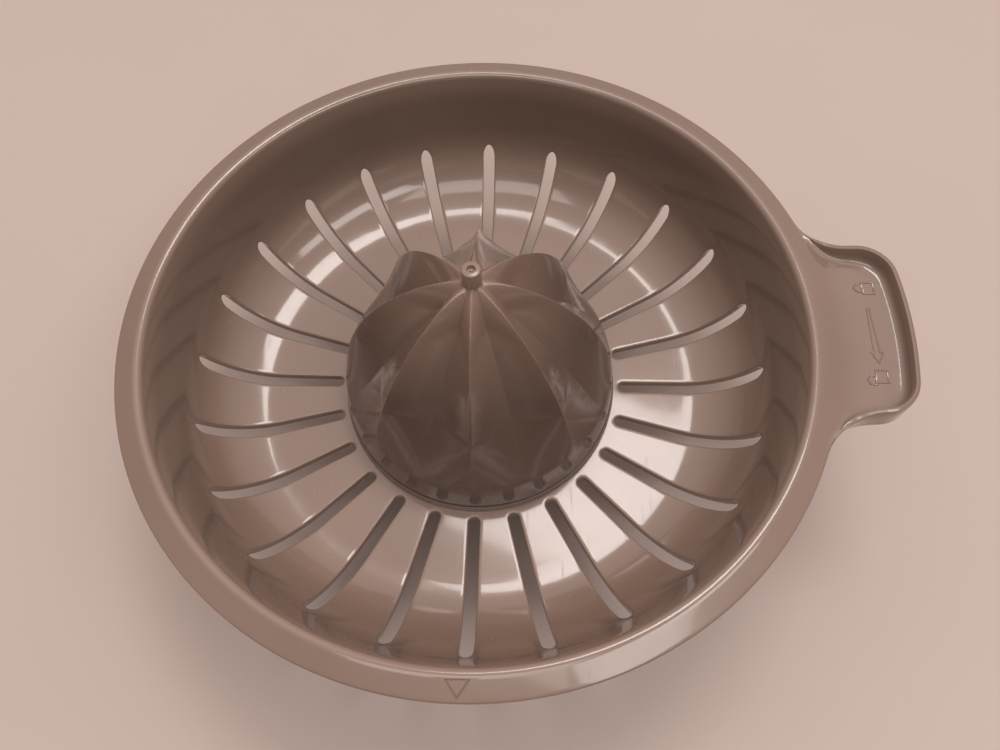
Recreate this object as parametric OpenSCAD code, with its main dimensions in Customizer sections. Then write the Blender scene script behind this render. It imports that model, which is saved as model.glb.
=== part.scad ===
// Citrus press attachment for a food processor: a slotted sieve bowl with a twist-lock tab,
// a planetary reduction gear under its floor and a fluted reamer cone that lifts off.
// Z is the drive axis and +X points to the tab. The origin is the centre of the mouth of
// the drive socket, where the processor's spindle enters from below.

/* [Bowl] */
// Height of the rim's outer edge above the drive socket's mouth
rim_z = 60; // [59:0.5:62]
// Radius of the rim's outer edge
rim_r = 90; // [90:1:94]
// Depth of the bowl's floor below the rim's outer edge
bowl_depth = 35.3; // [35:0.1:36]
// Radius of the flat floor
floor_r = 57.5; // [56:0.5:58]
// Inside radius of the round corner between floor and wall
corner_r = 21.7; // [20:0.1:22]
// Wall thickness of the bowl
wall = 2.4; // [2:0.1:2.6]
// Downward slope of the rim band, in degrees
band_slope = 18; // [14:1:20]

/* [Slots] */
// Number of juice slots
slot_count = 24; // [16:1:24]
// Radius of the inner end of a slot
slot_r1 = 39.7; // [39.5:0.1:41]
// Radius of the outer end of a slot
slot_r2 = 77.2; // [70:0.1:77.5]
// Width of a slot at its inner end
slot_w1 = 3.0; // [2.4:0.1:3.2]
// Width of a slot at its outer end
slot_w2 = 3.5; // [3:0.1:3.8]

/* [Tab] */
// Half width of the tab
tab_half = 23.7; // [22:0.1:25]
// Radius of the tab's outer edge about the drive axis
tab_r = 108; // [106:1:110]
// Corner radius of the tab
tab_corner = 8; // [6:0.5:9]
// Radius of the fillets where the tab leaves the rim
tab_root = 16; // [14:0.5:18]
// Thickness of the tab's perimeter wall
tab_wall = 1.4; // [1.2:0.1:1.6]

/* [Reamer] */
// Radius of the reamer's base
cone_r = 38.1; // [37.5:0.1:38.3]
// Height at which the ridges would meet, above the bowl's floor
cone_h = 54.6; // [54:0.1:56]
// Number of ridges
ridge_count = 8; // [6:1:10]
// Shell thickness of the reamer, measured level
cone_wall = 2.6; // [2.2:0.1:2.8]
// Height of the nipple above the ridges
nipple_h = 5.3; // [4:0.1:6]

/* [Gear train] */
// Gear module
gear_m = 1.1; // [1.08:0.01:1.1]
// Teeth on the sun gear
sun_teeth = 12; // [12:12:12]
// Teeth on each planet gear
planet_teeth = 18; // [18:18:18]
// Face width of the planet gears
gear_w = 7; // [6:0.5:7]
// Thinning of each tooth for backlash
backlash = 0.12; // [0.1:0.01:0.16]

/* [Drive] */
// Radius of the socket for the processor's spindle
socket_r = 4.5; // [4:0.1:4.6]
// Depth of the socket
socket_depth = 8; // [7.5:0.1:8]
// Radius of the output shaft
shaft_r = 4; // [3.8:0.1:4]
// Radial running clearance of the journals
run_gap = 0.05; // [0.03:0.01:0.08]

/* [Hidden] */
$fn = 64;

// Heights of the bowl
floor_z = rim_z - bowl_depth;
under_z = floor_z - wall;
// Angle of the corner arc: the wall above it leans out by 90 degrees less this
wall_lean = 78;
// The crest between wall and band, its fillet, and the flat seat under the rim
crest_fillet = 1.8;
seat_r = 85.8;
seat_drop = 1.3;
edge_round = 0.6;

// Gear train: ring fixed, planets on the carrier, sun driven
ring_teeth = sun_teeth + 2 * planet_teeth;
planet_orbit = gear_m * (sun_teeth + planet_teeth) / 2;
pressure_angle = 25;
planet_azimuths = [90, 210, 330];
post_azimuths = [30, 150, 270];
plate_z = 9;
plate_t = 2.2;
face_gap = 0.3;
planet_z = plate_z + plate_t + face_gap;
top_plate_z = planet_z + gear_w + face_gap;
top_plate_t = 2.1;
pin_r = 2;
carrier_r = 23.5;
post_r = 4;

// Gearbox cup
foot_z = -1;
cup_floor_t = 2.2;
cup_r = 32.2;
ring_r = 30;
cup_top = under_z - 0.8;
ear_r = 34.9;
ear_z = 9.5;
ear_t = 2.5;
ear_azimuths = [45, 135, 225, 315];
bush_r = 9.5;
collar_top = 6.4;
input_r = 8;

// Chimney and shaft
chimney_r = 10;
chimney_bore = 7;
chimney_top = floor_z + 29.3;
washer_z = chimney_top - 6.4;
clip_z = washer_z + 0.6;
seal_z = chimney_top - 4;
hex_z = chimney_top + 2;
shaft_top = chimney_top + 16;

// Reamer: all heights from the bowl's floor
cone_gap = 0.6;
flute_end = 30.3;
fade_end = 13.3;
valley_top = 55.7;
valley_slope = 1.03;
nipple_r = 2.35;
boss_r = 7.5;
boss_rise = 2.2;
hex_gap = 0.12;

// Points of an arc of radius r about [x, y] from angle a to angle b in n steps
function arc(x, y, r, a, b, n) =
    [for (i = [0 : n]) let (t = a + (b - a) * i / n) [x + r * cos(t), y + r * sin(t)]];

// Where the line through p at angle a meets the line through q at angle b
function meet(p, a, q, b) =
    let (d = q - p, s = (d[0] * sin(b) - d[1] * cos(b)) / sin(b - a)) p + s * [cos(a), sin(a)];

// ---- Bowl ----

corner_c = [floor_r, floor_z + corner_r];
wall_foot = corner_c + corner_r * [sin(wall_lean), -cos(wall_lean)];
crest_corner = meet(wall_foot, wall_lean, [rim_r, rim_z], 180 - band_slope);
crest_tangent = crest_fillet * tan((wall_lean + band_slope) / 2);
crest_c = crest_corner - crest_tangent * [cos(wall_lean), sin(wall_lean)]
    + crest_fillet * [sin(wall_lean), -cos(wall_lean)];

// Half section of the bowl, from the bore of the chimney to the rim and back underneath
function bowl_section() = concat(
    [[chimney_bore, under_z], [chimney_bore, chimney_top], [chimney_r - 0.6, chimney_top],
        [chimney_r - 0.3, chimney_top - 0.6], [chimney_r, floor_z + 1.2],
        [chimney_r + 1.2, floor_z]],
    arc(corner_c[0], corner_c[1], corner_r, -90, wall_lean - 90, 12),
    arc(crest_c[0], crest_c[1], crest_fillet, wall_lean + 90, 90 - band_slope, 8),
    arc(rim_r - edge_round, rim_z - edge_round, edge_round, 60, -90, 4),
    [[seat_r, rim_z - edge_round * 2], [seat_r - 0.9, rim_z - edge_round * 2 - 1.2]],
    arc(corner_c[0], corner_c[1], corner_r + wall, wall_lean - 90, -90, 12));

// Plan of one slot: a slim bar with round ends that widens outwards
function slot_plan() = concat(
    arc(slot_r1 + slot_w1 / 2, 0, slot_w1 / 2, 90, 270, 8),
    arc(slot_r2 - slot_w2 / 2, 0, slot_w2 / 2, -90, 90, 8));

// Plan of the tab, moved inwards by d: root fillets, straight sides, corners and outer arc
function tab_plan(d) =
    let (h = tab_half - d, ro = tab_r - d, rc = tab_corner - d, rf = tab_root + d,
        corner_x = sqrt(pow(ro - rc, 2) - pow(h - rc, 2)),
        corner_a = atan2(h - rc, corner_x),
        root_y = tab_half + tab_root,
        root_x = sqrt(pow(rim_r + tab_root - 1.2, 2) - root_y * root_y),
        root_a = atan2(root_y, root_x))
    concat([[78, -34]],
        arc(root_x, -root_y, rf, 180 - root_a, 90, 8),
        arc(corner_x, -(h - rc), rc, -90, -corner_a, 6),
        arc(0, 0, ro, -corner_a, corner_a, 8),
        arc(corner_x, h - rc, rc, corner_a, 90, 6),
        arc(root_x, root_y, rf, -90, root_a - 180, 8),
        [[78, 34]]);

module tab_floor() {
    // The floor carries the band's slope outwards and then lies flat
    intersection() {
        translate([0, 0, rim_z - 6]) linear_extrude(8) polygon(tab_plan(0.3));
        rotate([90, 0, 0]) translate([0, 0, -40]) linear_extrude(80)
            polygon([[84, rim_z + 0.4], [89, rim_z + 0.2], [94.5, rim_z - 1.6], [110, rim_z - 1.6],
                [110, rim_z - 3.4], [94, rim_z - 3.4], [88, rim_z - 1.2], [84, rim_z - 1.2]]);
    }
}

module tab_rail() {
    // The wall rises from the rim's edge along the root fillets to its full height
    intersection() {
        translate([0, 0, rim_z - 6]) linear_extrude(12) difference() {
            polygon(tab_plan(0));
            polygon(tab_plan(tab_wall));
        }
        rotate([90, 0, 0]) translate([0, 0, -40]) linear_extrude(80)
            polygon([[82, rim_z - 0.2], [85, rim_z + 0.2], [89, rim_z + 1.2], [94, rim_z + 2.6],
                [98, rim_z + 3], [110, rim_z + 3], [110, rim_z - 4.6], [96, rim_z - 4.6],
                [90, rim_z - 3.2], [85, rim_z - 1.3], [82, rim_z - 1.2]]);
    }
}

// A flat ring of line width w along the closed outline p, which is scaled about c
module outline(p, c, k, w_z) {
    linear_extrude(w_z) difference() {
        polygon(p);
        polygon([for (q = p) c + (q - c) * k]);
    }
}

module padlock(shackle_shift) {
    outline([[-1.7, 0], [1.7, 0], [1.7, 2.7], [-1.7, 2.7]], [0, 1.35], 0.74, 0.7);
    translate([shackle_shift, 0, 0]) linear_extrude(0.7) difference() {
        polygon(concat([[1.3, 0.1]], arc(0, -1.1, 1.3, 0, -180, 8), [[-1.3, 0.1]]));
        polygon(concat([[0.85, 0.2]], arc(0, -1.1, 0.85, 0, -180, 8), [[-0.85, 0.2]]));
    }
}

module tab_symbols() {
    translate([0, 0, rim_z - 2]) {
        translate([99.2, 13.3, 0]) rotate([0, 0, -90]) padlock(0);
        translate([98.6, -12, 0]) rotate([0, 0, -90]) padlock(1.1);
        linear_extrude(0.7) difference() {
            polygon([[99.2, 7.2], [99.8, 7.2], [100.7, -5.2], [101.6, -5.2], [99.8, -8.8],
                [97.9, -5.2], [98.8, -5.2]]);
            polygon([[99.5, 6], [100.2, -5.7], [100.8, -5.7], [99.8, -7.8], [98.7, -5.7],
                [99.3, -5.7]]);
        }
    }
}

module rim_mark() {
    // An engraved triangle on the band that points outwards
    translate([0, -86.7, rim_z + 3.3 * tan(band_slope)]) rotate([band_slope, 0, 0])
        translate([0, 0, -0.35]) outline([[-2.5, 2.1], [2.5, 2.1], [0, -2.2]], [0, 0.6], 0.8, 2);
}

module bowl_bosses() {
    // Screw bosses and a locating spigot for the gearbox under the floor
    for (a = ear_azimuths)
        rotate([0, 0, a]) translate([ear_r, 0, ear_z + ear_t])
            cylinder(r = 3, h = floor_z - 1 - ear_z - ear_t);
    translate([0, 0, under_z - 2]) difference() {
        cylinder(r = ring_r - 0.1, h = 3);
        translate([0, 0, -1]) cylinder(r = ring_r - 1.6, h = 5);
    }
}

module sieve_bowl() {
    color([0.55, 0.47, 0.42]) difference() {
        union() {
            rotate_extrude($fn = 180) polygon(bowl_section());
            difference() {
                union() {
                    tab_floor();
                    tab_rail();
                }
                // Only what lies outside the wall of the bowl is kept
                translate([0, 0, rim_z - 10]) cylinder(r = rim_r - 1.5, h = 20);
            }
            tab_symbols();
            bowl_bosses();
        }
        for (i = [0 : slot_count - 1])
            rotate([0, 0, i * 360 / slot_count]) translate([0, 0, under_z - 1])
                linear_extrude(corner_r + 2) polygon(slot_plan());
        for (a = ear_azimuths)
            rotate([0, 0, a]) translate([ear_r, 0, ear_z]) cylinder(r = 1.4, h = 11);
        rim_mark();
    }
}

// ---- Gears ----

// Polar angle of the involute of base radius b at radius r, in degrees
function inv(b, r) = r <= b ? 0 : let (a = acos(b / r)) tan(a) * 180 / PI - a;

// Outline of an external gear with n teeth, from root to tip radius, each tooth thicker by t
function gear_plan(n, root, tip, t) =
    let (p = gear_m * n / 2, b = p * cos(pressure_angle),
        half = 90 / n + t / 2 / p * 180 / PI + inv(b, p),
        low = max(root, b), upper = [(low + p) / 2, p, (p + tip) / 2, tip],
        radii = root < b ? concat([root, b], upper) : concat([root], upper),
        last = len(radii) - 1)
    [for (k = [0 : n - 1]) for (s = [-1, 1]) for (i = [0 : last])
        let (r = s < 0 ? radii[i] : radii[last - i], a = 360 * k / n + s * (half - inv(b, r)))
        r * [cos(a), sin(a)]];

module sun_gear() {
    pitch = gear_m * sun_teeth / 2;
    color([0.85, 0.83, 0.78]) difference() {
        union() {
            cylinder(r = input_r, h = 7.2);
            translate([0, 0, 7.15]) cylinder(r = 11, h = 1);
            translate([0, 0, 8]) linear_extrude(top_plate_z - face_gap - 8)
                polygon(gear_plan(sun_teeth, pitch - 1.25 * gear_m, pitch + gear_m, -backlash));
        }
        translate([0, 0, -1]) cylinder(r = socket_r, h = socket_depth + 1);
        // Keyways for the spindle's splines
        for (a = [0, 120, 240])
            rotate([0, 0, a]) translate([0, -0.8, -1]) cube([socket_r + 1.2, 1.6, socket_depth + 1]);
        translate([0, 0, 4]) cylinder(r = 1.6, h = 20);
    }
}

module planet_gear(k) {
    pitch = gear_m * planet_teeth / 2;
    a = planet_azimuths[k];
    color([0.9, 0.88, 0.82])
        rotate([0, 0, a]) translate([planet_orbit, 0, planet_z]) rotate([0, 0, 190 - a])
            rotate([0, 0, a]) difference() {
                linear_extrude(gear_w) polygon(gear_plan(planet_teeth, pitch - 1.25 * gear_m,
                    pitch + gear_m, -backlash));
                translate([0, 0, -1]) cylinder(r = pin_r + run_gap, h = gear_w + 2);
                for (z = [-1, gear_w - 0.8])
                    translate([0, 0, z]) difference() {
                        cylinder(r = 7.2, h = 1.8);
                        translate([0, 0, -1]) cylinder(r = 3.6, h = 4);
                    }
            }
}

module ring_gear() {
    pitch = gear_m * ring_teeth / 2;
    color([0.85, 0.83, 0.78]) translate([0, 0, plate_z + 1.6]) linear_extrude(gear_w + 2)
        difference() {
            union() {
                circle(r = ring_r);
                ring_keys();
            }
            rotate(180 / ring_teeth)
                polygon(gear_plan(ring_teeth, pitch - gear_m, pitch + 1.25 * gear_m, backlash));
        }
}

// The three keys that stop the ring gear from turning, in plan
module ring_keys() {
    for (a = [60, 180, 300])
        rotate(a) translate([ring_r - 1, -2]) square([2, 4]);
}

// ---- Gearbox housing ----

module gearbox_cup() {
    color([0.42, 0.36, 0.33]) difference() {
        union() {
            rotate_extrude($fn = 128) polygon([[bush_r, foot_z + 0.6], [12, foot_z + 0.6],
                [12, foot_z + 0.9], [24, foot_z + 0.9], [24.6, foot_z], [cup_r - 0.6, foot_z],
                [cup_r, foot_z + 0.6], [cup_r, cup_top], [ring_r, cup_top],
                [ring_r, plate_z + 1.6], [ring_r - 1.5, plate_z + 0.4],
                [ring_r - 1.5, foot_z + cup_floor_t + 1], [12, foot_z + cup_floor_t + 0.6],
                [12, collar_top], [bush_r, collar_top]]);
            for (a = ear_azimuths)
                rotate([0, 0, a]) {
                    translate([ear_r, 0, ear_z]) cylinder(r = 3.2, h = ear_t);
                    translate([cup_r - 1, -3.2, ear_z]) cube([ear_r - cup_r + 1, 6.4, ear_t]);
                }
        }
        translate([0, 0, plate_z + 1.6]) linear_extrude(gear_w + 7) ring_keys();
        for (a = ear_azimuths)
            rotate([0, 0, a]) {
                translate([ear_r, 0, ear_z - 1]) cylinder(r = 1.6, h = ear_t + 2);
                translate([ear_r, 0, ear_z + ear_t]) cylinder(r = 3.2, h = 12);
            }
    }
}

module gearbox_gasket() {
    color([0.15, 0.14, 0.14]) translate([0, 0, cup_top]) difference() {
        cylinder(r = cup_r, h = under_z - cup_top);
        translate([0, 0, -1]) cylinder(r = ring_r, h = 3);
        for (a = ear_azimuths)
            rotate([0, 0, a]) translate([ear_r, 0, -1]) cylinder(r = 3.2, h = 3);
    }
}

module cover_screws() {
    color([0.75, 0.75, 0.77]) for (a = ear_azimuths)
        rotate([0, 0, a]) translate([ear_r, 0, 0]) difference() {
            union() {
                translate([0, 0, ear_z - 1.8]) cylinder(r = 2.5, h = 1.8);
                translate([0, 0, ear_z - 0.1]) cylinder(r = 1.4, h = 9.6);
            }
            translate([-2, -0.3, ear_z - 2]) cube([4, 0.6, 1]);
            translate([-0.3, -2, ear_z - 2]) cube([0.6, 4, 1]);
        }
}

// ---- Bearings and seal ----

module tube(r_out, r_in, z0, z1) {
    translate([0, 0, z0]) difference() {
        cylinder(r = r_out, h = z1 - z0);
        translate([0, 0, -1]) cylinder(r = r_in, h = z1 - z0 + 2);
    }
}

module input_bush() {
    color([0.72, 0.55, 0.3]) {
        difference() {
            union() {
                translate([0, 0, foot_z + 1]) cylinder(r = bush_r, h = collar_top - foot_z - 1);
                translate([0, 0, collar_top]) cylinder(r = 11.5, h = 0.6);
            }
            translate([0, 0, -1]) cylinder(r = input_r + run_gap, h = 12);
        }
    }
}

module lower_bush() {
    color([0.72, 0.55, 0.3]) difference() {
        union() {
            translate([0, 0, under_z - 0.6]) cylinder(r = 9, h = 0.6);
            translate([0, 0, under_z - 0.1]) cylinder(r = chimney_bore, h = 9);
        }
        translate([0, 0, under_z - 2]) cylinder(r = shaft_r + run_gap, h = 20);
    }
}

module upper_bush() {
    color([0.72, 0.55, 0.3])
        tube(chimney_bore, shaft_r + run_gap, washer_z - 7.55, washer_z - 0.05);
}

module shaft_seal() {
    // A rubber lip seal: an outer ring, a web and a lip around the shaft
    color([0.12, 0.12, 0.12]) rotate_extrude($fn = 96) polygon([
        [chimney_bore, seal_z], [chimney_bore, chimney_top], [6, chimney_top],
        [5.4, seal_z + 1.6], [5, seal_z + 1.6], [4.7, chimney_top - 0.6],
        [shaft_r + run_gap, chimney_top - 0.9], [shaft_r + run_gap, chimney_top - 1.5],
        [4.4, seal_z + 0.6], [4.8, seal_z]]);
}

// ---- Output ----

module shaft_head(z, h) {
    translate([0, 0, z]) intersection() {
        cylinder(r = 7, h = h);
        translate([-7, -5.5, 0]) cube([14, 11, h]);
    }
}

module planet_carrier() {
    color([0.8, 0.78, 0.72]) difference() {
        union() {
            translate([0, 0, top_plate_z]) cylinder(r = carrier_r, h = top_plate_t);
            for (a = post_azimuths)
                rotate([0, 0, a]) translate([planet_orbit, 0, plate_z + plate_t])
                    cylinder(r = post_r, h = top_plate_z - plate_z - plate_t + 1);
        }
        shaft_head(top_plate_z - 1, 2);
        translate([0, 0, top_plate_z]) cylinder(r = shaft_r, h = 6);
        carrier_holes(top_plate_z + top_plate_t);
        for (a = post_azimuths)
            rotate([0, 0, a]) translate([planet_orbit, 0, plate_z]) cylinder(r = 1.3, h = 10);
    }
}

module carrier_holes(z1) {
    for (a = planet_azimuths)
        rotate([0, 0, a]) translate([planet_orbit, 0, plate_z - 1])
            cylinder(r = pin_r, h = z1 - plate_z + 2);
}

module carrier_plate() {
    color([0.8, 0.78, 0.72]) difference() {
        tube(carrier_r, 9.2, plate_z, plate_z + plate_t);
        carrier_holes(plate_z + plate_t);
        for (a = post_azimuths)
            rotate([0, 0, a]) translate([planet_orbit, 0, plate_z - 1]) {
                cylinder(r = 1.5, h = plate_t + 2);
                cylinder(r = 2.8, h = 2.2);
            }
    }
}

module carrier_screws() {
    color([0.75, 0.75, 0.77]) for (a = post_azimuths)
        rotate([0, 0, a]) translate([planet_orbit, 0, 0]) difference() {
            union() {
                translate([0, 0, plate_z - 0.2]) cylinder(r = 2.6, h = 1.4);
                translate([0, 0, plate_z + 1]) cylinder(r = 1.3, h = 8.4);
            }
            translate([-2, -0.3, plate_z - 1]) cube([4, 0.6, 1.4]);
            translate([-0.3, -2, plate_z - 1]) cube([0.6, 4, 1.4]);
        }
}

module planet_pins() {
    color([0.8, 0.8, 0.82]) for (a = planet_azimuths)
        rotate([0, 0, a]) translate([planet_orbit, 0, plate_z])
            cylinder(r = pin_r, h = top_plate_z + top_plate_t - plate_z);
}

module output_shaft() {
    color([0.8, 0.8, 0.82]) difference() {
        union() {
            shaft_head(top_plate_z, 1);
            translate([0, 0, top_plate_z + 0.5]) cylinder(r = shaft_r, h = hex_z - top_plate_z - 0.5);
            translate([0, 0, hex_z - 0.5]) cylinder(r = shaft_r, h = shaft_top - hex_z - 0.3, $fn = 6);
            translate([0, 0, shaft_top - 0.8]) cylinder(r1 = 3.45, r2 = 2.7, h = 0.8);
        }
        // Groove of the retaining ring
        difference() {
            translate([0, 0, clip_z]) cylinder(r = shaft_r + 1, h = 1);
            translate([0, 0, clip_z - 1]) cylinder(r = 3.2, h = 3);
        }
    }
}

module lower_thrust_washer() {
    color([0.6, 0.6, 0.62])
        tube(8.5, shaft_r, top_plate_z + top_plate_t, under_z - 0.65);
}

module upper_thrust_washer() {
    color([0.6, 0.6, 0.62]) tube(6.6, shaft_r, washer_z, clip_z);
}

module retaining_ring() {
    color([0.5, 0.5, 0.52]) translate([0, 0, clip_z]) difference() {
        cylinder(r = 5.6, h = 1);
        translate([0, 0, -1]) cylinder(r = 3.2, h = 3);
        translate([0, -1.5, -1]) cube([8, 3, 3]);
    }
}

// ---- Reamer ----

// Radius of a ridge, and share of it that a valley cuts away, at height z above the floor
function ridge(z) = (cone_r - 0.5) * sqrt(max(0.0036, 1 - pow(z / cone_h, 2)));
function valley(z) = max(0.45 * ridge(z), (valley_top - z) / valley_slope);
cut_at_end = 1 - valley(flute_end) / ridge(flute_end);
function cut(z) = z >= flute_end ? 1 - min(1, valley(z) / ridge(z))
    : cut_at_end * pow(max(0, (z - fade_end) / (flute_end - fade_end)), 1.3);

// Shape of the flute across one pitch, u from -1 to 1 between ridges: 0 on a ridge, 1 in the
// valley. Straight flanks above the end of the flutes, a smooth scallop below it.
function flank(u, k) =
    let (a = 180 / ridge_count, s = (1 - abs(u)) * a,
        straight = 1 - (1 - k) / ((1 - k) * cos(s) + (1 - (1 - k) * cos(a)) * sin(s) / sin(a)))
    k <= 0.001 ? 0 : straight / k;
function scallop(u) = (1 + cos(180 * u)) / 2;
function cone_point(a, z, inset) =
    let (pitch = 360 / ridge_count, u = 2 * (a / pitch - floor(a / pitch)) - 1, k = cut(z),
        m = max(0, min(1, (flute_end - z) / 4)),
        f = (1 - m) * flank(u, k) + m * scallop(u),
        r = max(nipple_r + 0.2, ridge(z) * (1 - k * f) - inset))
    [r * cos(a), r * sin(a), z];

// The reamer is one closed skin of rings, each with cone_sides points. The rings run from the
// nipple's recess down the outside, over the base's lip, up the inside, and down and up the boss.
cone_sides = 48;
cone_top = 54.3;
lip_h = 1.4;
ceiling = 45;
outer_levels = [cone_top, 53.4, 51.8, 49.5, 46.5, 43, 39, 34.5, 30.3, 26.5, 22.5, 18, 13.3, 7,
    cone_gap + lip_h];
inner_levels = [13.3, 19, 25, 30.3, 34.5, 39, ceiling];

function circle_ring(r, z) =
    [for (i = [0 : cone_sides - 1]) let (a = i * 360 / cone_sides) [r * cos(a), r * sin(a), z]];
function hex_ring(r, z) =
    [for (i = [0 : cone_sides - 1]) let (a = i * 360 / cone_sides, b = a % 60 - 30)
        r * cos(30) / cos(b) * [cos(a), sin(a), 0] + [0, 0, z]];
function flute_ring(z, inset) =
    [for (i = [0 : cone_sides - 1]) cone_point(i * 360 / cone_sides, z, inset)];

module ring_skin(rings, first_pole, last_pole) {
    n = cone_sides;
    m = len(rings);
    pole_a = m * n;
    pole_b = m * n + 1;
    points = concat([for (r = rings) each r], [first_pole, last_pole]);
    bands = [for (j = [0 : m - 2]) for (i = [0 : n - 1])
        let (a = j * n + i, b = j * n + (i + 1) % n) each [[a, b, b + n], [a, b + n, a + n]]];
    caps = [for (i = [0 : n - 1]) let (k = (i + 1) % n)
        each [[pole_a, k, i], [(m - 1) * n + i, (m - 1) * n + k, pole_b]]];
    polyhedron(points, concat(bands, caps));
}

module reamer_cone() {
    tip = cone_top + nipple_h;
    boss_low = chimney_top + boss_rise - floor_z;
    socket_end = shaft_top + 0.05 - floor_z;
    hex_r = shaft_r + hex_gap;
    color([0.42, 0.35, 0.31]) translate([0, 0, floor_z]) ring_skin(concat(
        [circle_ring(0.75, tip - 0.8), circle_ring(0.75, tip),
            circle_ring(nipple_r - 0.3, tip), circle_ring(nipple_r, cone_top)],
        [for (z = outer_levels) flute_ring(z, 0)],
        [circle_ring(cone_r, cone_gap + lip_h - 0.2), circle_ring(cone_r, cone_gap),
            circle_ring(cone_r - cone_wall - 0.5, cone_gap)],
        [for (z = inner_levels) flute_ring(z, cone_wall)],
        [circle_ring(boss_r, ceiling + 0.6), circle_ring(boss_r, boss_low),
            hex_ring(hex_r, boss_low), hex_ring(hex_r, socket_end)]),
        [0, 0, tip - 0.8], [0, 0, socket_end]);
}

sieve_bowl();
gearbox_cup();
ring_gear();
gearbox_gasket();
cover_screws();
input_bush();
lower_bush();
upper_bush();
shaft_seal();
sun_gear();
planet_gear(0);  // planet_gear_1
planet_gear(1);  // planet_gear_2
planet_gear(2);  // planet_gear_3
planet_carrier();
carrier_plate();
carrier_screws();
planet_pins();
output_shaft();
lower_thrust_washer();
upper_thrust_washer();
retaining_ring();
reamer_cone();
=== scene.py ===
"""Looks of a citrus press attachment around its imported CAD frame.

The slotted bowl and the reamer are rebuilt here as fine meshes with rounded edges, and the parts
of the gearbox keep their CAD meshes. Lengths are millimetres in the CAD frame until Skin.piece().
"""

import math

import bmesh
import bpy
import numpy as np
from mathutils import Matrix, Vector


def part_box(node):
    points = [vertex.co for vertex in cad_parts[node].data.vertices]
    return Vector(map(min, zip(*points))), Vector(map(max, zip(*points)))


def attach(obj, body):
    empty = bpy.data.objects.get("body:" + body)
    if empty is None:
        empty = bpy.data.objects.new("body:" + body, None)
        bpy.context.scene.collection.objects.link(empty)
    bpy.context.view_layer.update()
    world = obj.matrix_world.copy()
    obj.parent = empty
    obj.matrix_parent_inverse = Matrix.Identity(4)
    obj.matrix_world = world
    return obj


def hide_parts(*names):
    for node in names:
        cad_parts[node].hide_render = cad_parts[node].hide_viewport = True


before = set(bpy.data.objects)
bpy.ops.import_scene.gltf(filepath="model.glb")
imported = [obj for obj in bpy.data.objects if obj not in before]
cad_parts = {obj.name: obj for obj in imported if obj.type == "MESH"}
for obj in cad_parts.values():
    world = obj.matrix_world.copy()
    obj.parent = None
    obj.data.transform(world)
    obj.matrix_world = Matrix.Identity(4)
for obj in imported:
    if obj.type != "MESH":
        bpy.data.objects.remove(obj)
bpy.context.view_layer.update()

MM = 0.001


def node_box(name):
    """Lowest and highest corner of a CAD node in millimetres."""
    return [np.array(corner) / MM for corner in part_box(name)]


bowl_low, bowl_high = node_box("sieve_bowl")
cone_low, cone_high = node_box("reamer_cone")
cup_low = node_box("gearbox_cup")[0]

# Bowl, from the frame and the design's own proportions
RAIL_RISE = 3.0
RIM_R = -bowl_low[0]
RIM_Z = bowl_high[2] - RAIL_RISE
CONE_GAP = 0.6
FLOOR_Z = cone_low[2] - CONE_GAP
WALL = 2.4
UNDER_Z = FLOOR_Z - WALL
FLOOR_R = 57.5
CORNER_R = 21.7
OUTER_CORNER_R = CORNER_R + WALL
CORNER_TOP = FLOOR_Z + CORNER_R
WALL_LEAN = 78.0
BAND_SLOPE = 18.0
CREST_R = 1.8
CREST_C = np.array([RIM_R - 5.62, RIM_Z - 0.07])
EDGE_R = 0.6
SEAT_R = RIM_R - 4.2
SEAT_Z = RIM_Z - 2 * EDGE_R

# Slots
SLOTS = 24
SLOT_IN = (41.2, 1.5)  # centre radius and half width of the inner end
SLOT_OUT = (75.9, 1.75)
SLOT_FILLET = 0.45
UNDER_FILLET = 0.3
CELL_IN = 37.6
CELL_OUT = 78.7
CELL_STEPS = 8
END_STEPS = CELL_STEPS + 8

# Columns of the lathe-like skins
COLUMNS = SLOTS * CELL_STEPS
RIM_COLUMNS = 2 * COLUMNS

# Tab
TAB_HALF = 23.7
TAB_R = bowl_high[0]
TAB_CORNER = 9.5
TAB_ROOT = 15.0
TAB_WALL = 1.4
TAB_FLOOR = RIM_Z - 1.6
TAB_FLOOR_T = 1.7
TAB_FILLET = 2.0
RAIL_LOW = RIM_Z - 4.6
RAIL_START = 84.0  # along X, where the rail begins to rise from the rim's edge
RAIL_RUN = 14.0
SKIRT_RUN = 12.0
RAIL_FOOT = 0.4
BLEND_START = 84.2  # along X, where the rim's edge begins to turn into the rail
BLEND_RUN = 6.8
TAB_BEND = RIM_R + 1.5
BAND_ROWS = 10

# Engraved triangle on the band
MARK_HALF = 2.4
MARK_BASE = RIM_R - 4.5
MARK_TIP = RIM_R - 1.1
MARK_DEPTH = 0.26

# Raised signs on the tab
SIGN_X = TAB_R - 8.8
OPEN_Y = 13.3
CLOSED_Y = -12.0
SIGN_R = 0.26
ARROW_R = 0.22

# Reamer, heights above the bowl's floor
CONE_R = cone_high[0]
RIDGES = 8
RIDGE_R = CONE_R - 0.5
RIDGE_H = 54.6
CONE_TOP = 54.3
CONE_TIP = cone_high[2] - FLOOR_Z
FLUTE_END = 30.3
FADE_END = 13.3
VALLEY_TOP = 55.7
VALLEY_SLOPE = 1.03
NIPPLE_R = 2.35
LIP_H = 1.4
CONE_WALL = 2.6
CEILING = 45.0
BOSS_R = 7.5
BOSS_LOW = 31.5
SOCKET_R = 4.12
SOCKET_END = 45.35
RIDGE_SOFT = 0.14

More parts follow.
